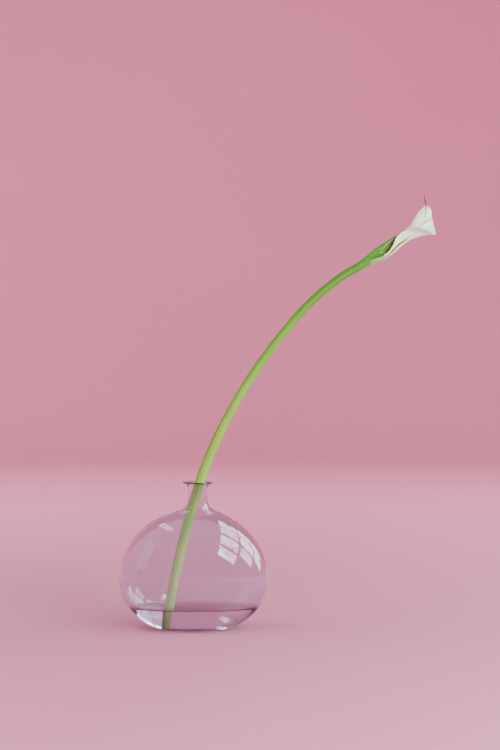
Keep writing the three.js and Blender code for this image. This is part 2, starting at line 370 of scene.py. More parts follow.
@dataclass(frozen=True)
class StemSkin:
    """Fleshy plant skin: waxy and smooth, with fine lines along it, and paler towards its foot in the water,
    partly its own colour and partly painted light for the light that the glass and water hold back.

    The wax gives a soft long sheen, and light that enters the flesh softens the shaded side. The real lines
    are finer. Here there are only as many round the stem as still show.
    """

    # The pale stops at the foot are partly the stem's own colour and partly painted light, for the light that
    # the glass and water hold back.
    foot_to_bloom: Stops = (
        (0.0, "#D2EC9E"), (0.05, "#C8E294"), (0.12, "#BADB88"), (0.20, "#B0D476"), (0.28, "#9ACC5E"),
        (0.33, "#7BA93A"), (0.60, "#6DA12B"), (0.80, "#4E8A18"), (0.93, "#3E7C12"), (1.0, "#3B7812"),
    )
    line_tones: Stops = ((0.3, "#8F9A80"), (0.5, "#B9BCB0"), (0.72, "#D6D9C6"))
    patch_tones: Stops = ((0.35, "#9AA090"), (0.65, "#C8CAB6"))
    lines_round: float = 26.0
    lines_along: float = 5.0
    patch_mm: float = 38.461538
    line_share: float = 0.55
    patch_share: float = 0.4

    def make(self) -> bpy.types.Material:
        """Makes the skin. The UV map runs around the stem in U and from the foot to the bloom in V.

        Returns:
            The material.
        """
        material, tree, shader = new_material("calla_stem_skin")
        uv = add_node(tree, "ShaderNodeUVMap", uv_map="UVMap").outputs["UV"]
        split = add_node(tree, "ShaderNodeSeparateXYZ", {"Vector": uv})
        ground = add_node(
            tree, "ShaderNodeValToRGB", {"Fac": split.outputs["Y"]}, stops=self.foot_to_bloom
        )
        along = add_node(
            tree, "ShaderNodeMapping", {"Vector": uv, "Scale": (self.lines_round, self.lines_along, 1.0)}
        )
        lines = add_node(
            tree, "ShaderNodeTexNoise", {"Vector": along.outputs["Vector"], "Scale": 1.0, "Detail": 4.0}
        )
        line_tone = add_node(
            tree, "ShaderNodeValToRGB", {"Fac": lines.outputs["Fac"]}, stops=self.line_tones
        )
        lined = add_node(
            tree,
            "ShaderNodeMix",
            {MIX_SHARE: self.line_share, "A": ground.outputs["Color"], "B": line_tone.outputs["Color"]},
            data_type="RGBA",
            blend_type="SOFT_LIGHT",
        )
        place = add_node(tree, "ShaderNodeTexCoord").outputs["Object"]
        scale = per_metre(self.patch_mm)
        patches = add_node(tree, "ShaderNodeTexNoise", {"Vector": place, "Scale": scale, "Detail": 2.0})
        patch_tone = add_node(
            tree, "ShaderNodeValToRGB", {"Fac": patches.outputs["Fac"]}, stops=self.patch_tones
        )
        mottled = add_node(
            tree,
            "ShaderNodeMix",
            {MIX_SHARE: self.patch_share, "A": lined.outputs[MIXED_COLOUR], "B": patch_tone.outputs["Color"]},
            data_type="RGBA",
            blend_type="SOFT_LIGHT",
        )
        relief = {"Height": lines.outputs["Fac"], "Strength": 0.25, "Distance": 0.4 * MM}
        dress = {
            "Base Color": mottled.outputs[MIXED_COLOUR],
            "Roughness": 0.36,
            "IOR": 1.42,
            "Subsurface Weight": 0.12,
            "Subsurface Radius": (0.8, 1.2, 0.3),
            "Subsurface Scale": 1.5 * MM,
            "Coat Weight": 0.12,
            "Coat Roughness": 0.3,
            "Normal": add_node(tree, "ShaderNodeBump", relief).outputs["Normal"],
        }
        plug(tree, shader, dress)
        return material


class PetalSide(Enum):
    """The two faces of the rolled sheet."""

    OUTSIDE = "calla_spathe_outside"
    INSIDE = "calla_spathe_inside"


@dataclass(frozen=True)
class SpatheSkin:
    """Thick waxy petal: matt satin, light glows through it, and fine veins run up from a green foot.

    The petal's tint attribute says how green (red) and creamy (green) a place is, and how much painted shade
    lies on it, in olive (blue) and grey (alpha). The real veins are finer. Here there are only as many round
    the roll as still show.
    """

    side: PetalSide
    white: str
    # These two colours are painted shade, which the tint attribute's blue and alpha lay on the sheet.
    olive_shade: str = "#465C0E"
    grey_shade: str = "#9F9BA0"
    greens: Stops = ((0.3, "#27660A"), (0.5, "#3D8415"), (0.7, "#68A630"))
    creams: Stops = ((0.3, "#B9D36C"), (0.55, "#D0E290"), (0.72, "#E2ECB4"))
    vein_tones: Stops = ((0.32, "#A9ADA0"), (0.5, "#BCBCBA"), (0.7, "#CACAC8"))
    veins_round: float = 46.0
    veins_along: float = 1.6
    vein_share: float = 0.45
    vein_start: float = 0.03
    vein_full: float = 0.22
    even_tone: float = 0.52

    def make(self) -> bpy.types.Material:
        """Makes one face's material. U of the UV map runs around the roll and V runs up it.

        Returns:
            The material.
        """
        material, tree, shader = new_material(self.side.value)
        tint = add_node(tree, "ShaderNodeAttribute", attribute_name="tint")
        parts = add_node(tree, "ShaderNodeSeparateColor", {"Color": tint.outputs["Color"]}).outputs
        uv = add_node(tree, "ShaderNodeUVMap", uv_map="UVMap").outputs["UV"]
        along = add_node(
            tree, "ShaderNodeMapping", {"Vector": uv, "Scale": (self.veins_round, self.veins_along, 1.0)}
        )
        noisy = add_node(
            tree, "ShaderNodeTexNoise", {"Vector": along.outputs["Vector"], "Scale": 1.0, "Detail": 5.0}
        )
        height = add_node(tree, "ShaderNodeSeparateXYZ", {"Vector": uv})
        fade = add_node(
            tree,
            "ShaderNodeMapRange",
            {"Value": height.outputs["Y"], "From Min": self.vein_start, "From Max": self.vein_full},
        )
        # The veins fade out towards the foot, where the sheet is one even green.
        mixed = add_node(
            tree,
            "ShaderNodeMix",
            {MIX_SHARE: fade.outputs["Result"], MIX_LOW: self.even_tone, MIX_HIGH: noisy.outputs["Fac"]},
        )
        veins = mixed.outputs[MIXED_VALUE]
        green = add_node(tree, "ShaderNodeValToRGB", {"Fac": veins}, stops=self.greens)
        cream = add_node(tree, "ShaderNodeValToRGB", {"Fac": veins}, stops=self.creams)
        tone = add_node(tree, "ShaderNodeValToRGB", {"Fac": veins}, stops=self.vein_tones)
        ground = linear_colour(self.white)
        # Red and green lay the sheet's own green and cream; blue and alpha lay painted shade over them.
        for share, colour in (
            (parts["Green"], cream.outputs["Color"]),
            (parts["Red"], green.outputs["Color"]),
            (parts["Blue"], linear_colour(self.olive_shade)),
            (tint.outputs["Alpha"], linear_colour(self.grey_shade)),
        ):
            inputs = {MIX_SHARE: share, "A": ground, "B": colour}
            ground = add_node(tree, "ShaderNodeMix", inputs, data_type="RGBA").outputs[MIXED_COLOUR]
        veined = add_node(
            tree,
            "ShaderNodeMix",
            {MIX_SHARE: self.vein_share, "A": ground, "B": tone.outputs["Color"]},
            data_type="RGBA",
            blend_type="SOFT_LIGHT",
        )
        relief = {"Height": veins, "Strength": 0.3, "Distance": 0.4 * MM}
        dress = {
            "Base Color": veined.outputs[MIXED_COLOUR],
            "Roughness": 0.5,
            "IOR": 1.4,
            "Specular IOR Level": 0.3,
            "Subsurface Weight": 0.35,
            "Subsurface Radius": (1.0, 0.95, 0.7),
            "Subsurface Scale": 2.2 * MM,
            "Sheen Weight": 0.08,
            "Coat Weight": 0.05,
            "Coat Roughness": 0.4,
            "Normal": add_node(tree, "ShaderNodeBump", relief).outputs["Normal"],
        }
        plug(tree, shader, dress)
        return material


@dataclass(frozen=True)
class SpadixGrain:
    """A spike packed with tiny florets: matt, dusted with pollen, and pebbled all over."""

    # The dark end of this ramp is painted shade in the gaps between the florets.
    top_to_shaded_gap: Stops = ((0.0, "#F2CF4E"), (0.45, "#E3B431"), (0.8, "#A97A1C"))
    floret_mm: float = 0.9

    def make(self) -> bpy.types.Material:
        """Makes the pebbled yellow, darker between the florets.

        Returns:
            The material.
        """
        material, tree, shader = new_material("spadix_florets")
        place = add_node(tree, "ShaderNodeTexCoord").outputs["Object"]
        scale = per_metre(self.floret_mm)
        florets = add_node(tree, "ShaderNodeTexVoronoi", {"Vector": place, "Scale": scale})
        far = florets.outputs["Distance"]
        colour = add_node(tree, "ShaderNodeValToRGB", {"Fac": far}, stops=self.top_to_shaded_gap)
        relief = {"Height": far, "Strength": 0.8, "Distance": 0.4 * MM}
        dress = {
            "Base Color": colour.outputs["Color"],
            "Roughness": 0.8,
            "IOR": 1.4,
            "Sheen Weight": 0.3,
            "Normal": add_node(tree, "ShaderNodeBump", relief, invert=True).outputs["Normal"],
        }
        plug(tree, shader, dress)
        return material


@dataclass(frozen=True)
class DriedTip:
    """Dried plant tissue: brown, papery and streaked along its length."""

    root_to_end: Stops = (
        (0.0, "#C9CBA8"), (0.2, "#93795A"), (0.42, "#5E3C32"), (0.75, "#48302C"), (1.0, "#5E4842"),
    )
    streaks_round: float = 7.0
    streaks_along: float = 3.0

    def make(self) -> bpy.types.Material:
        """Makes the brown, from greenish at its root to dark at its end.

        Returns:
            The material.
        """
        material, tree, shader = new_material("dried_spathe_tip")
        uv = add_node(tree, "ShaderNodeUVMap", uv_map="UVMap").outputs["UV"]
        split = add_node(tree, "ShaderNodeSeparateXYZ", {"Vector": uv})
        colour = add_node(
            tree, "ShaderNodeValToRGB", {"Fac": split.outputs["Y"]}, stops=self.root_to_end
        )
        along = add_node(
            tree, "ShaderNodeMapping", {"Vector": uv, "Scale": (self.streaks_round, self.streaks_along, 1.0)}
        )
        streaks = add_node(
            tree, "ShaderNodeTexNoise", {"Vector": along.outputs["Vector"], "Scale": 1.0, "Detail": 3.0}
        )
        relief = {"Height": streaks.outputs["Fac"], "Strength": 0.7, "Distance": 0.3 * MM}
        dress = {
            "Base Color": colour.outputs["Color"],
            "Roughness": 0.75,
            "IOR": 1.4,
            "Normal": add_node(tree, "ShaderNodeBump", relief).outputs["Normal"],
        }
        plug(tree, shader, dress)
        return material


@dataclass(frozen=True)
class SeamlessPaper:
    """Matt studio paper: pale, without a pattern. Its grain is drawn coarser than real, so that it shows."""

    colour: str = "#DD88A6"
    grain_mm: float = 1.1111111

    def make(self) -> bpy.types.Material:
        """Makes the paper.

        Returns:
            The material.
        """
        material, tree, shader = new_material("seamless_paper")
        place = add_node(tree, "ShaderNodeTexCoord").outputs["Object"]
        scale = per_metre(self.grain_mm)
        grain = add_node(tree, "ShaderNodeTexNoise", {"Vector": place, "Scale": scale, "Detail": 2.0})
        relief = {"Height": grain.outputs["Fac"], "Strength": 0.04, "Distance": 0.5 * MM}
        dress = {
            "Base Color": linear_colour(self.colour),
            "Roughness": 0.85,
            "Normal": add_node(tree, "ShaderNodeBump", relief).outputs["Normal"],
        }
        plug(tree, shader, dress)
        return material


# ------------------------------------------------------------------ the stem's line


# Rows of (x, y, z, radius), from the cut foot to the bloom.
STEM_LINE: tuple[Row, ...] = (
    (-29.2, -6.5, 5.0, 4.7),
    (-25.6, -5.6, 31.7, 5.0),
    (-15.6, -3.6, 81.2, 5.3),
    (-2.3, -1.4, 130.7, 5.5),
    (9.2, 0.0, 169.2, 5.4),
    (30.0, 1.0, 218.7, 5.1),
    (59.5, 2.0, 271.5, 4.75),
    (97.3, 2.0, 324.3, 4.6),
    (128.7, 1.2, 359.5, 4.5),
    (159.6, 0.4, 385.4, 4.5),
    (183.0, 0.0, 399.6, 4.45),
    (191.2, 0.0, 404.9, 3.9),
)


def curve_point(line: Sequence[Row], knot: float) -> tuple[Vector, float]:
    """A point on the smooth line through rows of (x, y, z, radius).

    Args:
        line: The rows.
        knot: 0 at the first row, 1 at the second, and so on.

    Returns:
        The point and the radius there.
    """
    last = len(line) - 1
    i = min(last - 1, int(knot))
    t = knot - i
    here, there = Vector(line[i][:3]), Vector(line[i + 1][:3])
    before = Vector(line[i - 1][:3]) if i > 0 else here * 2 - there
    after = Vector(line[i + 2][:3]) if i + 2 <= last else there * 2 - here
    d0, d1, d2 = ((b - a).length ** 0.5 for a, b in ((before, here), (here, there), (there, after)))
    start = ((here - before) / d0 - (there - before) / (d0 + d1) + (there - here) / d1) * d1
    end = ((there - here) / d1 - (after - here) / (d1 + d2) + (after - there) / d2) * d1
    point = (
        here
        + start * t
        + ((there - here) * 3 - start * 2 - end) * t**2
        + ((here - there) * 2 + start + end) * t**3
    )
    return point, blend(line[i][3], line[i + 1][3], t)


@dataclass
class Track:
    """A line read at even steps, with a steady pair of cross axes at each step."""

    line: Sequence[Row]
    steps: int
    fineness: int = 40
    points: list[Vector] = field(default_factory=list)
    radii: list[float] = field(default_factory=list)
    sides: list[Vector] = field(default_factory=list)
    fronts: list[Vector] = field(default_factory=list)

    def __post_init__(self) -> None:
        """Walks the line once and carries the cross axes along it without a twist."""
        fine = self.fineness * (len(self.line) - 1)
        walk = [curve_point(self.line, k * (len(self.line) - 1) / fine) for k in range(fine + 1)]
        reach = [0.0]
        for (a, _), (b, _) in zip(walk, walk[1:]):
            reach.append(reach[-1] + (b - a).length)
        j = 0
        for k in range(self.steps + 1):
            goal = reach[-1] * k / self.steps
            while j < fine - 1 and reach[j + 1] < goal:
                j += 1
            share = (goal - reach[j]) / (reach[j + 1] - reach[j])
            self.points.append(walk[j][0].lerp(walk[j + 1][0], share))
            self.radii.append(blend(walk[j][1], walk[j + 1][1], share))
        front = Vector((0.0, -1.0, 0.0))
        for k in range(self.steps + 1):
            ahead = self.points[min(self.steps, k + 1)] - self.points[max(0, k - 1)]
            ahead.normalize()
            front = (front - ahead * front.dot(ahead)).normalized()
            self.fronts.append(front.copy())
            self.sides.append(front.cross(ahead).normalized())

    def around(self, step: int, angle: float, radius: float) -> Vector:
        """The point at an angle and radius about one step of the line."""
        offset = self.fronts[step] * math.cos(angle) + self.sides[step] * math.sin(angle)
        return self.points[step] + offset * radius

    def at_height(self, z: float) -> tuple[Vector, float]:
        """The line's first point at or above a height, and the radius there."""
        step = next(k for k, point in enumerate(self.points) if point.z >= z)
        return self.points[step], self.radii[step]


# ------------------------------------------------------------------ vase and water


@dataclass(frozen=True)
class Ladder:
    """The heights at which a wall is cut: fine apart at its foot and its shoulder, wide apart between."""

    start: float
    end: float
    fine: float
    foot: float
    shoulder: float = 105.0
    wide: float = 2.2

    def heights(self) -> list[float]:
        """Lists the heights.

        Returns:
            The heights, from the start up or down to the end.
        """
        way = 1.0 if self.end > self.start else -1.0
        found = []
        z = self.start
        while (self.end - z) * way > 0.0:
            found.append(z)
            z += way * (self.fine if z < self.foot or z > self.shoulder else self.wide)
        return found


@dataclass
class Flask:
    """The glass: a round flask pressed flat, with a short neck, a flared lip and a thick foot.

    Its outside is half an ellipse above the widest height and another one below it. The neck is round. A span
    gives the heights between which something sets in.
    """

    half_width: float = 82.0
    depth_ratio: float = 0.5
    centre_z: float = 53.7
    rise: float = 78.1
    drop: float = 61.0
    wall: float = 2.4
    floor_swell: float = 0.1
    swell_span: Span = (4.2, 24.0)
    floor_rows: tuple[Row, ...] = ((0.0, 4.1), (20.0, 4.2), (33.0, 4.35))
    corner_z: float = 5.0
    corner_in: float = 0.6
    floor_top: float = 6.0
    hollow_ends: Span = (1.5, 125.0)
    round_span: Span = (124.0, 143.0)
    neck_offset: float = 4.0
    offset_span: Span = (116.0, 135.0)
    outside_cut: Ladder = Ladder(3.2, 125.6, 1.3, 20.0)
    inside_cut: Ladder = Ladder(123.5, 6.0, 1.2, 26.0)
    lip_tilt: float = 0.016
    lip_span: Span = (154.0, 159.0)
    wander: float = 0.12
    wander_length: float = 31.0
    wander_in_span: Span = (4.0, 12.0)
    wander_out_span: Span = (152.0, 132.0)
    wander_seed: int = 7
    turns: int = 144
    foot: tuple[Row, ...] = (
        (0.0, 2.4), (12.0, 2.35), (22.0, 2.1), (26.6, 1.7), (28.2, 0.95), (29.4, 0.22),
        (30.8, 0.0), (32.2, 0.2), (33.7, 0.8), (37.5, 1.15), (43.4, 2.0),
    )
    neck_outside: tuple[Row, ...] = (
        (27.8, 127.2), (22.6, 129.2), (18.0, 131.0), (14.9, 133.0), (12.7, 135.8), (11.3, 139.4),
        (10.7, 143.5), (10.6, 149.5), (10.8, 154.0), (11.5, 157.4), (12.9, 159.4), (14.4, 160.1),
        (15.9, 160.2), (16.35, 160.35), (16.5, 160.6), (16.5, 161.3), (16.3, 161.55), (15.8, 161.65),
        (14.3, 161.45),
    )
    neck_inside: tuple[Row, ...] = (
        (13.0, 160.8), (11.7, 159.8), (10.5, 158.3), (9.6, 156.3), (9.2, 153.5), (9.2, 144.5),
        (9.6, 140.2), (10.8, 136.2), (12.8, 133.0), (16.1, 130.2), (20.8, 127.8), (25.4, 125.6),
    )

    def half_width_at(self, z: float, inset: float) -> float:
        """Half the body's width at a height.

        Args:
            z: The height.
            inset: 0 for the outside, or how far inside it to read.

        Returns:
            The half width, 0 above and below the body.
        """
        reach = (self.rise if z >= self.centre_z else self.drop) - inset
        t = (z - self.centre_z) / reach
        return (self.half_width - inset) * math.sqrt(max(0.0, 1.0 - t * t))

    def inside_at(self, z: float) -> float:
        """Half the width of the hollow at a height: the wall thickens towards the floor."""
        slim = 1.0 - self.floor_swell * (1.0 - eased(z, *self.swell_span))
        return self.half_width_at(z, self.wall) * slim

    def inside_squash(self) -> float:
        """Depth over width of the hollow."""
        return (self.half_width * self.depth_ratio - self.wall) / (self.half_width - self.wall)

    def squash_at(self, radius: float, z: float) -> float:
        """Depth over width of the glass at a point of its profile.

        Args:
            radius: The point's distance from the axis.
            z: Its height.

        Returns:
            The ratio, 1 in the round neck.
        """
        bottom, top = self.hollow_ends
        inside = bottom < z < top and radius < self.half_width_at(z, 0.0) - 0.5 * self.wall
        body = self.inside_squash() if inside else self.depth_ratio
        return blend(body, 1.0, eased(z, *self.round_span))

    def offset_at(self, z: float) -> float:
        """How far the glass stands to the right of the body's middle, as the neck does."""
        return self.neck_offset * eased(z, *self.offset_span)

    @staticmethod
    def rounded(points: Sequence[Row], per_span: int) -> Outline:
        """A dense smooth line through a few profile points.

        Args:
            points: (radius, height) pairs.
            per_span: How many steps to make between two of them.

        Returns:
            The dense (radius, height) pairs.
        """
        rows = [(p[0], 0.0, p[1], 0.0) for p in points]
        dense = [curve_point(rows, k / per_span)[0] for k in range((len(rows) - 1) * per_span + 1)]
        return [(point.x, point.z) for point in dense]

    def floor_line(self, bite: float) -> Outline:
        """The floor of the hollow, from its middle to the wall.

        Args:
            bite: How far the line runs inside the glass.

        Returns:
            The (radius, height) pairs.
        """
        points = [(radius, z - bite) for radius, z in self.floor_rows]
        points.append((self.inside_at(self.corner_z) - self.corner_in + bite, self.corner_z))
        points.append((self.inside_at(self.floor_top) + bite, self.floor_top))
        return self.rounded(points, 4)

    def profile(self) -> Outline:
        """The whole cut of the glass, from under the foot, over the lip, to the middle of the floor.

        Returns:
            The (radius, height) pairs.
        """
        outside = [(self.half_width_at(z, 0.0), z) for z in self.outside_cut.heights()]
        inside = [(self.inside_at(z), z) for z in self.inside_cut.heights()]
        neck = self.rounded(self.neck_outside, 3) + self.rounded(self.neck_inside, 3)
        return self.rounded(self.foot, 4) + outside + neck + inside + self.floor_line(0.0)[::-1]

    def lathe(self, profile: Outline) -> bpy.types.Object:
        """Draws a profile by extruding one point along it, then spins it round the upright axis.

        Args:
            profile: (radius, height) pairs. Both ends lie on the axis.

        Returns:
            A round closed body, not yet pressed flat.
        """
        deselect_all()
        first = profile[0]
        bpy.ops.mesh.primitive_plane_add(size=0.001, location=(first[0] * MM, 0.0, first[1] * MM))
        piece = bpy.context.object
        bpy.ops.object.transform_apply(location=True, rotation=True, scale=True)
        bpy.ops.object.mode_set(mode="EDIT")
        bpy.ops.mesh.select_all(action="SELECT")
        bpy.ops.mesh.merge(type="CENTER")
        for (r0, z0), (r1, z1) in zip(profile, profile[1:]):
            step = ((r1 - r0) * MM, 0.0, (z1 - z0) * MM)
            bpy.ops.mesh.extrude_region_move(TRANSFORM_OT_translate={"value": step})
        bpy.ops.mesh.select_all(action="SELECT")
        bpy.ops.mesh.spin(steps=self.turns, angle=2 * math.pi, center=(0, 0, 0), axis=(0, 0, 1))
        bpy.ops.object.mode_set(mode="OBJECT")
        return piece

    def press_flat(self, piece: bpy.types.Object, squash: Callable[[float, float], float]) -> None:
        """Presses a spun body to an oval and sets its neck to the right.

        Args:
            piece: The spun body.
            squash: Depth over width, from radius and height in millimetres.
        """
        for vertex in piece.data.vertices:
            x, y, z = vertex.co / MM
            radius = math.hypot(x, y)
            vertex.co = Vector((x + self.offset_at(z), y * squash(radius, z), z)) * MM

    def hand_made(self, piece: bpy.types.Object) -> None:
        """Tilts the lip a little and lets the wall wander by a tenth of a millimetre, as in blown glass.

        Args:
            piece: The pressed body.
        """
        noise.seed_set(self.wander_seed)
        for vertex in piece.data.vertices:
            x, y, z = vertex.co / MM
            z -= eased(z, *self.lip_span) * (x - self.neck_offset) * self.lip_tilt
            wander = self.wander * eased(z, *self.wander_in_span) * eased(z, *self.wander_out_span)
            push = noise.noise_vector(Vector((x, y, z)) / self.wander_length) * wander
            vertex.co = Vector((x + push.x, y + push.y, z)) * MM

    def build(self) -> bpy.types.Object:
        """Builds the glass and lets it stand for the vase's solid.

        Returns:
            The glass.
        """
        piece = self.lathe(self.profile())
        self.press_flat(piece, self.squash_at)
        self.hand_made(piece)
        face_outwards(piece)
        add_piece(piece, "glass_flask", BlownGlass().make())
        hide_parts("vase")
        return piece


@dataclass
class Water:
    """Shallow water in the foot of the flask, drawn up a little where it meets glass and stem."""

    flask: Flask
    stem: Track
    level: float = 24.3
    climb: float = 1.0
    reach: float = 0.9
    stem_climb: float = 0.8
    stem_reach: float = 1.0
    bite: float = 0.1
    wall_start: float = 7.2
    wall_step: float = 1.2
    edge_gaps: Row = (0.25, 0.55, 0.9, 1.4, 2.0, 2.8, 3.8, 5.0, 6.5)
    flat_gap: float = 8.5
    ring_step: float = 1.6
    skin_depth: float = 0.01

    def profile(self) -> Outline:
        """The water's cut, from the middle of the floor, up the wall and in over the surface.

        Returns:
            The (radius, height) pairs.
        """
        wall = []
        z = self.wall_start
        top = self.level + self.climb
        while z < top:
            wall.append((self.flask.inside_at(z) + self.bite, z))
            z += self.wall_step
        edge = self.flask.inside_at(top) + self.bite
        surface = [(edge, top)]
        for gap in self.edge_gaps:
            surface.append((edge - gap, self.level + self.climb * math.exp(-gap / self.reach)))
        ring = edge - self.flat_gap
        while ring > 1.0:
            surface.append((ring, self.level))
            ring -= self.ring_step
        return self.flask.floor_line(self.bite) + wall + surface + [(0.0, self.level)]

    def build(self) -> bpy.types.Object:
        """Builds the water and lets it stand for the water's solid.

        Returns:
            The water.
        """
        squash = self.flask.inside_squash()
        piece = self.flask.lathe(self.profile())
        self.flask.press_flat(piece, lambda radius, z: squash)
        foot, radius = self.stem.at_height(self.level)
        for vertex in piece.data.vertices:
            x, y, z = vertex.co / MM
            if z > self.level - self.skin_depth:
                gap = math.hypot(x - foot.x, y - foot.y) - radius
                z += self.stem_climb * math.exp(-max(0.0, gap) / self.stem_reach) * eased(gap, -radius, 0.0)
                vertex.co.z = min(z, self.level + self.climb) * MM
        face_outwards(piece)
        add_piece(piece, "still_water", StillWater().make())
        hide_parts("water")
        return piece


# ------------------------------------------------------------------ stem


@dataclass
class Stem:
    """One fleshy peduncle, nearly round, with a few soft ridges and a knife-cut foot."""

    track: Track
    sides: int = 56
    ridge_count: int = 7
    ridge_share: float = 0.018
    ridge_twist: float = 5.0
    swell_share: float = 0.012
    swell_count: float = 14.0
    swell_place: float = 3.7
    end_rings: Row = (0.93, 0.7, 0.35)
    merge_mm: float = 0.02

    def skin(self, step: int, angle: float) -> Vector:
        """A point of the skin.

        Args:
            step: The step along the stem's line.
            angle: The angle round it.

        Returns:
            The point, in millimetres.
        """
        share = step / self.track.steps
        ridge = self.ridge_share * math.cos(self.ridge_count * angle + self.ridge_twist * share)
        swell = self.swell_share * noise.noise(Vector((share * self.swell_count, 0.0, self.swell_place)))
        return self.track.around(step, angle, self.track.radii[step] * (1.0 + ridge + swell))

    def build(self) -> bpy.types.Object:
        """Builds the stem from a grid that is rolled round its line.

        Returns:
            The stem.
        """
        piece = rolled_grid(self.sides, self.track.steps, self.skin)
        self.close_ends(piece)
        face_outwards(piece, self.merge_mm)
        add_piece(piece, "lily_stem", StemSkin().make())
        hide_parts("stem")
        return piece

    def close_ends(self, piece: bpy.types.Object) -> None:
        """Closes both ends with a rounded, cut face of a few rings.

        Args:
            piece: The open tube.
        """
        select_ends(piece, self.merge_mm)
        ends = (self.track.points[0] * MM, self.track.points[-1] * MM)
        for shrink in self.end_rings:
            bpy.ops.mesh.extrude_region_move()
            bpy.ops.object.mode_set(mode="OBJECT")
            for vertex in piece.data.vertices:
                if vertex.select:
                    centre = min(ends, key=lambda end: (vertex.co - end).length)
                    base = self.track.radii[0 if centre is ends[0] else -1] * MM
                    vertex.co = centre + (vertex.co - centre).normalized() * base * shrink
            bpy.ops.object.mode_set(mode="EDIT")
        bpy.ops.mesh.edge_face_add()
        bpy.ops.object.mode_set(mode="OBJECT")


# ------------------------------------------------------------------ bloom


@dataclass
class BloomAxes:
    """The bloom's own axes: along its funnel, up across it, and to the back."""

    base: Vector = field(default_factory=lambda: Vector((189.2, 0.0, 403.5)))
    rise_deg: float = 34.0

    def point(self, along: float, up: float, back: float) -> Vector:
        """A point of the part, in millimetres, from the bloom's own axes."""
        c, s = math.cos(math.radians(self.rise_deg)), math.sin(math.radians(self.rise_deg))
        return self.base + Vector((c * along - s * up, back, s * along + c * up))


@dataclass
class Spathe:
    """The bloom's one sheet: rolled into a funnel, one free edge over the other, open at a slanting mouth.

    The rows of tube give (along, radius, up) of the plain roll, those of edges (along, outer, inner angle) of
    its two free edges, and those of rim (round share, along, up, back) of the mouth. Each line beside them
    gives (along, round share). Where the methods name a place or the ends of a fold, along is in millimetres,
    and the round and up shares run from 0 to 1.
    """

    axes: BloomAxes
    thickness: float = 0.6
    start: float = -9.0
    roll_step: float = 0.95
    flare_from: float = -2.0
    flare_start: float = 0.66
    flare_power: float = 1.9
    around_steps: int = 220
    up_steps: int = 150
    vein_count: int = 30
    vein_height: float = 0.05
    pleat_height: float = 0.8
    groove_depth: float = 1.7
    hollow_depth: float = 1.7
    wander_height: float = 0.5
    wander_up: float = 3.2
    wander_round: float = 5.0
    wander_place: float = 7.3
    flap_lift: float = 2.4
    corner_curl: float = 3.0
    corner_lift: float = 0.7
    ripple_height: float = 0.45
    ripple_count: float = 2.6
    ripple_phase: float = 0.1
    far_rim_roll: float = 0.5
    near_rim_roll: float = 2.0
    tube: tuple[Row, ...] = (
        (-9, 4.0, 0), (-5, 4.5, 0), (-2, 4.85, 0), (3, 5.25, 0), (10, 6.3, -0.2), (17, 7.5, -0.9),
        (24, 7.5, -0.9), (32, 7.1, -0.7), (42, 6.4, -0.4), (52, 5.9, -0.5), (62, 5.9, -0.8), (92, 6.2, -0.8),
    )
    edges: tuple[Row, ...] = (
        (-9, 0, 360), (-2, 2, 362), (5, 12, 368), (10, 20, 386), (22, 30, 404), (29, 16, 402),
        (36, -2, 394), (42, -22, 386), (50, -34, 374), (60, -36, 352), (92, -36, 340),
    )
    rim: tuple[Row, ...] = (
        (0.0, 59.0, 4.9, -9.2),
        (0.12, 68.0, -1.8, -10.9),
        (0.24, 75.4, -9.6, -8.8),
        (0.34, 79.8, -17.0, -2.0),
        (0.46, 84.2, -9.4, 5.0),
        (0.58, 88.8, -0.2, 8.0),
        (0.68, 92.3, 7.0, 7.4),
        (0.76, 90.4, 13.4, 4.2),
        (0.86, 78.0, 11.8, -1.4),
        (0.93, 66.0, 6.2, -4.4),
        (1.0, 57.0, 2.2, -5.6),
    )
    crease_line: tuple[Row, ...] = (
        (20, 0.045), (31, 0.052), (38, 0.084), (47, 0.138), (53, 0.143), (66, 0.150),
    )
    hollow_line: tuple[Row, ...] = ((18, 0.88), (26, 0.81), (34, 0.777), (42, 0.72), (50, 0.70))

    def along_at(self, up_share: float, round_share: float) -> float:
        """How far along the funnel a place of the sheet lies, in millimetres."""
        return blend(self.start, sample(self.rim, round_share, 1), up_share)

    def hollow_at(self, along: float, round_share: float) -> float:
        """How far a place lies in the shaded hollow that the near flap stands over, from 0 to 1."""
        edge = sample(self.hollow_line, along, 1)
        return eased(round_share, edge - 0.015, edge + 0.035) * eased(along, 18, 23) * eased(along, 46, 38)

    def relief(self, along: float, up_share: float, round_share: float) -> float:
        """How far the skin stands out from the plain roll: veins, hollow, pleat and wandering.

        Args:
            along: The place's distance along the funnel.
            up_share: 0 at the foot of the roll and 1 at its rim.
            round_share: 0 at the outer free edge and 1 at the inner one.

        Returns:
            The height, in millimetres.
        """
        veins = self.vein_height * math.cos(2 * math.pi * self.vein_count * round_share)
        crease = sample(self.crease_line, along, 1)
        pleat = self.pleat_height * eased(round_share, crease, crease - 0.014)
        pleat -= self.groove_depth * bell(round_share, crease + 0.012, 0.014)
        pleat *= eased(along, 21, 26) * eased(along, 64, 54)
        spot = Vector((up_share * self.wander_up, round_share * self.wander_round, self.wander_place))
        wander = self.wander_height * noise.noise(spot)
        hollow = self.hollow_depth * self.hollow_at(along, round_share)
        return veins * eased(up_share, 0, 0.2) + pleat + wander * eased(along, 0, 15) - hollow

    @staticmethod
    def lobe_crease(up_share: float, round_share: float) -> float:
        """The crease that runs down the upper lobe from its tip, from 0 to 1."""
        where = 0.742 - 0.9 * max(0.0, 0.97 - up_share)
        return bell(round_share, where, 0.02) * eased(up_share, 0.84, 0.9)

    def mouth_fold(self, up_share: float, round_share: float) -> float:
        """How far the far wall of the mouth is folded in, between its upper lobe and its lower lip.

        Args:
            up_share: 0 at the foot of the roll and 1 at its rim.
            round_share: 0 at the outer free edge and 1 at the inner one.

        Returns:
            The depth, in millimetres.
        """
        return eased(up_share, 0.7, 0.92) * (
            2.6 * bell(round_share, 0.556, 0.018)
            - 1.3 * bell(round_share, 0.47, 0.05)
            - 0.9 * bell(round_share, 0.63, 0.04)
            - 1.1 * self.lobe_crease(up_share, round_share)
        )

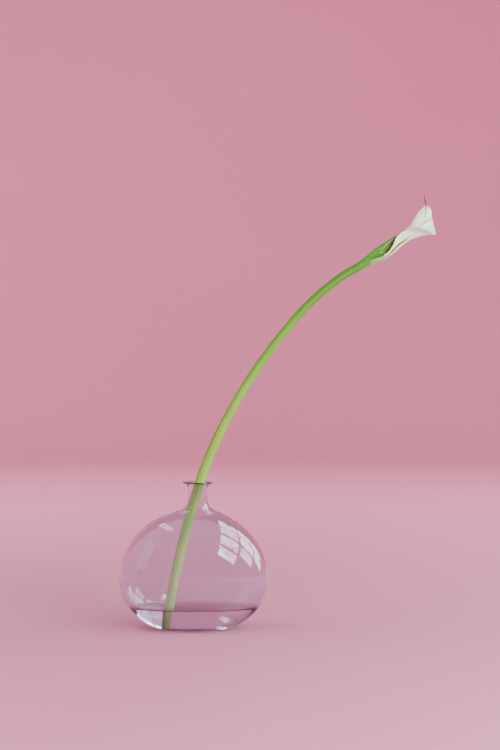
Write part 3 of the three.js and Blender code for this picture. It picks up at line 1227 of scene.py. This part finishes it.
    def roll_radius(self, along: float, up_share: float, round_share: float, curl: float) -> float:
        """The roll's radius at a place: the plain tube, its spiral step, the lifted flap and the relief.

        Args:
            along: The place's distance along the funnel.
            up_share: 0 at the foot of the roll and 1 at its rim.
            round_share: 0 at the outer free edge and 1 at the inner one.
            curl: How far the flap's lower corner curls up there.

        Returns:
            The radius, in millimetres.
        """
        lifted = self.flap_lift * math.exp(-round_share / 0.05) * eased(along, 23, 35)
        lifted *= 1 - 0.5 * eased(along, 42, 50)
        step = self.roll_step * eased(along, 0, 9) * (1 - 2 * round_share)
        return sample(self.tube, along, 1) + step + lifted + curl + self.relief(along, up_share, round_share)

    def middle(self, up_share: float, round_share: float) -> Vector:
        """A point of the sheet's middle surface, which turns from the roll into the flared mouth.

        Args:
            up_share: 0 at the foot of the roll and 1 at its rim.
            round_share: 0 at the outer free edge and 1 at the inner one.

        Returns:
            The point, in millimetres.
        """
        along = self.along_at(up_share, round_share)
        outer, inner = sample(self.edges, along, 1), sample(self.edges, along, 2)
        angle = math.radians(blend(outer, inner, round_share))
        curl = self.corner_curl * math.exp(-round_share / 0.022) * bell(along, 20.8, 1.8)
        radius = self.roll_radius(along, up_share, round_share, curl)
        roll_up = sample(self.tube, along, 2) - radius * math.sin(angle) + self.corner_lift * curl
        roll_back = -radius * math.cos(angle)
        share = (along - self.flare_from) / (sample(self.rim, round_share, 1) - self.flare_from)
        power = self.flare_power - bell(round_share, 0.8, 0.13)
        flare = min(1.0, max(0.0, (share - self.flare_start) / (1 - self.flare_start))) ** power
        up = blend(roll_up, sample(self.rim, round_share, 2), flare)
        back = blend(roll_back, sample(self.rim, round_share, 3), flare)
        turn = self.ripple_count * round_share + self.ripple_phase
        ripple = self.ripple_height * math.sin(2 * math.pi * turn) * flare**2
        rim_roll = blend(self.far_rim_roll, self.near_rim_roll, eased(round_share, 0.36, 0.26))
        rim_roll *= eased(up_share, 0.89, 1.0) ** 2
        folded = self.mouth_fold(up_share, round_share)
        out = Vector((up, back)).normalized() * (ripple + rim_roll - folded)
        return self.axes.point(along, up + out.x, back + out.y)

    def tints(self, up_share: float, round_share: float) -> tuple[float, float, float, float]:
        """How green and creamy the sheet is at a place, and how much of its two painted shades lies there.

        Args:
            up_share: 0 at the foot of the roll and 1 at its rim.
            round_share: 0 at the outer free edge and 1 at the inner one.

        Returns:
            The four shares, each from 0 to 1.
        """
        along = self.along_at(up_share, round_share)
        crease = sample(self.crease_line, along, 1)
        far_side = eased(round_share, 0.42, 0.67)
        flap = eased(round_share, crease + 0.008, crease - 0.008) * eased(along, 20, 24)
        corner = eased(round_share, 0.34, 0.24) * eased(along, 0.5, 7.5) * eased(along, 25, 20)
        # The upper lobe of the mouth gets painted shade: a little green, cream and grey over its white.
        shaded_upper_lobe = eased(round_share, 0.7, 0.76) * eased(up_share, 0.74, 0.84)
        throat = eased(round_share, 0.5, 0.58) * eased(up_share, 0.5, 0.58) * eased(up_share, 0.86, 0.74)

        green_end = blend(9.0, 38.0, far_side)
        green = eased(along, green_end + 24.0, green_end)
        green = min(green, blend(1.0, 0.7, corner)) * (1 - flap)
        green = max(green, 0.24 * shaded_upper_lobe, 0.3 * throat)

        turning = 3.6 * green * (1 - green) * (1 - 0.3 * corner)
        belly = 0.75 * eased(along, 10, 22) * eased(along, 62, 46) * (1 - far_side) * (1 - 0.75 * flap)
        glow = 0.8 * bell(round_share, 0.19, 0.06) * bell(along, 53, 8)
        cream = max(turning, belly, glow, 0.85 * throat, 0.45 * shaded_upper_lobe)

        # Painted shade in a dark yellow-green: a line just below the crease, the hollow that the near flap
        # stands over, and a band at the foot of the bloom under the lobe.
        crease_shade = bell(round_share, crease + 0.03, 0.018) * eased(along, 20, 24)
        crease_shade *= 1 - 0.8 * eased(along, 44, 56)
        under = 0.55 * bell(round_share, 0.27, 0.06) * eased(along, -4, 1) * eased(along, 18, 10)
        olive_shade = max(0.92 * self.hollow_at(along, round_share), crease_shade, under)

        # Painted shade in a greyish lilac: along the near rim of the mouth, down the fold and the crease of
        # the far wall, and over the upper lobe.
        near_rim_shade = 0.6 * eased(up_share, 0.87, 0.92) * eased(round_share, 0.34, 0.28)
        far_fold_shade = 0.35 * bell(round_share, 0.56, 0.01) * eased(up_share, 0.76, 0.84)
        grey_shade = max(near_rim_shade, far_fold_shade, 0.34 * shaded_upper_lobe, self.lobe_crease(up_share, round_share))
        return green, cream, olive_shade, grey_shade

    def build(self) -> bpy.types.Object:
        """Builds the sheet from a grid, gives it its wall, and lets it stand for the spathe's solid.

        Returns:
            The spathe.
        """
        deselect_all()
        bpy.ops.mesh.primitive_grid_add(
            x_subdivisions=self.around_steps, y_subdivisions=self.up_steps, size=1.0
        )
        piece = bpy.context.object
        tint = piece.data.color_attributes.new(name="tint", type="FLOAT_COLOR", domain="POINT")
        for vertex in piece.data.vertices:
            round_share, up_share = vertex.co.x + 0.5, vertex.co.y + 0.5
            tint.data[vertex.index].color = self.tints(up_share, round_share)
            vertex.co = self.middle(up_share, round_share) * MM
        wall = piece.modifiers.new("wall", "SOLIDIFY")
        wall.thickness = self.thickness * MM
        wall.offset = 0.0
        wall.use_even_offset = True
        wall.material_offset = 1
        bpy.ops.object.modifier_apply(modifier=wall.name)
        bpy.ops.object.shade_smooth()
        add_piece(piece, "spathe", SpatheSkin(PetalSide.OUTSIDE, "#D5ECD0").make())
        piece.data.materials.append(SpatheSkin(PetalSide.INSIDE, "#E2F4EC").make())
        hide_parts("spathe")
        return piece


@dataclass
class SpatheTip:
    """The dried, slightly twisted point that stands on the spathe's apex."""

    axes: BloomAxes
    sides: int = 16
    steps: int = 40
    pinch: float = 0.22
    twist: float = 0.16
    merge_mm: float = 0.005
    line: tuple[Row, ...] = (
        (87.6, 11.0, 5.0, 0.6),
        (90.4, 14.2, 4.6, 0.95),
        (92.0, 18.0, 4.4, 0.78),
        (93.2, 21.4, 4.5, 0.66),
        (94.4, 23.6, 4.8, 0.54),
        (96.0, 25.2, 5.0, 0.26),
    )

    def build(self) -> bpy.types.Object:
        """Builds the tip from a grid that is rolled round its line, flattened and turning as it goes.

        Returns:
            The tip.
        """
        rows = [(*self.axes.point(*place), radius) for *place, radius in self.line]
        track = Track(rows, self.steps)

        def skin(step: int, angle: float) -> Vector:
            """The skin's point at a step and an angle."""
            flat = 1.0 + self.pinch * math.cos(2 * angle + step * self.twist)
            return track.around(step, angle, track.radii[step] * flat)

        piece = rolled_grid(self.sides, self.steps, skin)
        select_ends(piece, self.merge_mm)
        bpy.ops.mesh.fill()
        bpy.ops.object.mode_set(mode="OBJECT")
        face_outwards(piece, self.merge_mm)
        add_piece(piece, "spathe_tip", DriedTip().make())
        return piece


@dataclass
class Spadix:
    """The yellow spike in the throat, pebbled with florets set in spirals. Its rows give (along, radius)."""

    axes: BloomAxes
    segments: int = 60
    rings: int = 190
    spirals: int = 6
    pitch: float = 2.6
    floret_share: float = 0.07
    end_power: int = 16
    blunt: float = 0.6
    sink: float = 0.4
    profile: tuple[Row, ...] = (
        (3.2, 1.7), (8, 2.1), (20, 2.55), (36, 2.55), (47, 2.15), (52, 1.6), (54.6, 0.8),
    )

    def build(self) -> bpy.types.Object:
        """Builds the spike from a ball that is stretched to its profile, with rows of florets.

        Returns:
            The spike.
        """
        deselect_all()
        bpy.ops.mesh.primitive_uv_sphere_add(segments=self.segments, ring_count=self.rings, radius=1.0)
        piece = bpy.context.object
        low, high = self.profile[0][0], self.profile[-1][0] + self.blunt
        for vertex in piece.data.vertices:
            share = 0.5 - math.asin(max(-1.0, min(1.0, vertex.co.z))) / math.pi
            angle = math.atan2(vertex.co.y, vertex.co.x)
            along = blend(high, low, share)
            closing = math.sqrt(max(0.0, 1 - (2 * share - 1) ** self.end_power))
            left = math.sin(self.spirals * angle + along * self.pitch)
            right = math.sin(self.spirals * angle - along * self.pitch)
            radius = sample(self.profile, along, 1) * closing
            radius *= 1.0 + self.floret_share * left * right * closing
            up, back = -self.sink - radius * math.sin(angle), -radius * math.cos(angle)
            vertex.co = self.axes.point(along, up, back) * MM
        face_outwards(piece)
        add_piece(piece, "spadix_spike", SpadixGrain().make())
        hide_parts("spadix")
        return piece


# ------------------------------------------------------------------ studio


@dataclass(frozen=True)
class Lamp:
    """One flat lamp: where it hangs and what it faces, in metres, its size, its watts and its colour."""

    name: str
    place: Sequence[float]
    aim: Sequence[float]
    size: Span
    watts: float
    colour: str
    hidden_from: tuple[str, ...] = ()
    spread_deg: float = 180.0

    def hang(self) -> bpy.types.Object:
        """Adds the lamp and hides it from the kinds of ray that it shouldn't be seen by.

        Returns:
            The lamp.
        """
        deselect_all()
        bpy.ops.object.light_add(type="AREA", location=tuple(self.place))
        light = bpy.context.object
        light.name = self.name
        light.data.shape = "RECTANGLE"
        light.data.size, light.data.size_y = self.size
        light.data.energy = self.watts
        light.data.color = linear_colour(self.colour)[:3]
        light.data.spread = math.radians(self.spread_deg)
        light.rotation_euler = (Vector(self.aim) - Vector(self.place)).to_track_quat("-Z", "Y").to_euler()
        for ray in self.hidden_from:
            setattr(light, f"visible_{ray}", False)
        return light


@dataclass
class Studio:
    """Pale paper that curves up all round, a tall window to the right, soft fill, and the camera.

    Lengths are in metres. The window's panes show only in shiny and clear things, and the daylight lamp in
    their middle lights all the rest. The wall washes keep the paper pale behind every view.
    """

    camera_at: Row = (0.0616, -1.595, 0.2792)
    lens: float = 69.6
    paper_radius: float = 3.2
    paper_sides: int = 96
    paper_inset: float = 0.4
    sweep: float = 1.4
    sweep_steps: int = 10
    paper_wall: float = 1.6
    window_middle: Row = (1.16, -0.62, 0.97)
    window_roll_deg: float = -48.0
    columns: Row = (-0.33, 0.36, 1.05)
    rows: Row = (-0.82, -0.27, 0.28, 0.83)
    pane: Span = (0.59, 0.43)
    pane_watts: float = 19.0
    sill_z: float = 0.3
    wash_near: Span = (1.1, 2.0)
    wash_far: Span = (4.3, 0.3)
    air: str = "#E9EDF6"
    air_strength: float = 0.42

    def floor(self) -> bpy.types.Object:
        """Lays round paper that curves up into a wall, so that every view has the same pale ground.

        Returns:
            The paper.
        """
        deselect_all()
        bpy.ops.mesh.primitive_circle_add(
            vertices=self.paper_sides, radius=self.paper_radius, fill_type="NGON"
        )
        piece = bpy.context.object
        bpy.ops.object.mode_set(mode="EDIT")
        bpy.ops.mesh.select_all(action="SELECT")
        bpy.ops.mesh.inset(thickness=self.paper_inset)
        bpy.ops.mesh.select_all(action="DESELECT")
        bpy.ops.mesh.select_non_manifold()
        angles = [math.pi / 2 * turn / self.sweep_steps for turn in range(self.sweep_steps + 1)]
        for low, high in zip(angles, angles[1:]):
            lift = self.sweep * (math.cos(low) - math.cos(high))
            reach = self.paper_radius + self.sweep * math.sin(high)
            wider = reach / (self.paper_radius + self.sweep * math.sin(low))
            bpy.ops.mesh.extrude_region_move(TRANSFORM_OT_translate={"value": (0, 0, lift)})
            bpy.ops.transform.resize(value=(wider, wider, 1.0))
        bpy.ops.mesh.extrude_region_move(TRANSFORM_OT_translate={"value": (0, 0, self.paper_wall)})
        bpy.ops.object.mode_set(mode="OBJECT")
        bpy.ops.object.shade_smooth()
        piece.name = "paper_floor"
        piece.data.materials.append(SeamlessPaper().make())
        return piece

    def window(self) -> None:
        """Hangs the window's panes side by side, with bars of empty air between them, down to its sill."""
        middle, aim = Vector(self.window_middle), Vector((0.0, 0.0, 0.12))
        facing = (aim - middle).normalized()
        level = facing.cross(Vector((0.0, 0.0, 1.0))).normalized()
        roll = math.radians(self.window_roll_deg)
        across = level * math.cos(roll) + level.cross(facing) * math.sin(roll)
        upward = across.cross(facing).normalized()
        turned = Matrix((across, upward, -facing)).transposed().to_euler()
        for column, aside in enumerate(self.columns):
            for row, above in enumerate(self.rows):
                place = middle + across * aside + upward * above
                if place.z < self.sill_z:
                    continue
                name = f"pane_{column}_{row}"
                pane = Lamp(name, place, place + facing, self.pane, self.pane_watts, "#F5F8FF", ("diffuse",))
                pane.hang().rotation_euler = turned
        unseen = ("glossy", "transmission")
        Lamp("daylight", middle, aim, (1.9, 1.9), 31.0, "#F8FAFF", unseen).hang()

    def light(self) -> None:
        """Hangs the window, the soft fills and a wash on each wall, and fills the room with pale air."""
        self.window()
        shine, unseen = ("glossy",), ("glossy", "transmission")
        sky, sky_aim = (-0.92, -0.25, 1.68), (0.03, 0.0, 0.05)
        front, front_aim = (1.2, -1.7, 0.3), (0.2, 0.0, 0.38)
        left, left_aim = (-1.9, -1.2, 0.9), (0.05, 0.0, 0.25)
        Lamp("overhead", (-0.3, -0.2, 2.3), (0.05, 0.0, 0.2), (2.4, 2.0), 2.5, "#FFF9F8", shine).hang()
        Lamp("skylight", sky, sky_aim, (1.3, 0.2), 14.0, "#F3F6FF", shine).hang()
        Lamp("front_fill", front, front_aim, (1.2, 0.45), 13.0, "#EFFFF0", unseen, 70.0).hang()
        Lamp("left_fill", left, left_aim, (0.8, 1.2), 3.0, "#F3F4FF").hang()
        for quarter in range(4):
            angle = math.pi / 2 * quarter
            ends = (self.wash_near, self.wash_far)
            near, far = ((reach * math.sin(angle), reach * math.cos(angle), z) for reach, z in ends)
            Lamp(f"wall_wash_{quarter}", near, far, (2.4, 1.0), 78.0, "#FFFAFA", unseen).hang()
        world = bpy.data.worlds.new("pale_air")
        world.use_nodes = True
        background = world.node_tree.nodes["Background"]
        background.inputs["Color"].default_value = linear_colour(self.air)
        background.inputs["Strength"].default_value = self.air_strength
        bpy.context.scene.world = world

    def camera(self) -> None:
        """Sets a level camera at the height of the stem's middle."""
        deselect_all()
        bpy.ops.object.camera_add(location=self.camera_at, rotation=(math.pi / 2, 0.0, 0.0))
        camera = bpy.context.object
        camera.data.sensor_width = 36.0
        camera.data.lens = self.lens
        camera.data.clip_start = 0.02
        bpy.context.scene.camera = camera


def main() -> None:
    """Imports the model, then builds the camera, the pieces in order, the paper and the light."""
    logging.basicConfig(level=logging.INFO)
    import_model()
    studio = Studio()
    studio.camera()
    track = Track(STEM_LINE, 360)
    flask = Flask()
    flask.build()
    Water(flask, track).build()
    Stem(track).build()
    axes = BloomAxes()
    Spathe(axes).build()
    SpatheTip(axes).build()
    Spadix(axes).build()
    studio.floor()
    studio.light()
    deselect_all()


if __name__ == "__main__":
    main()
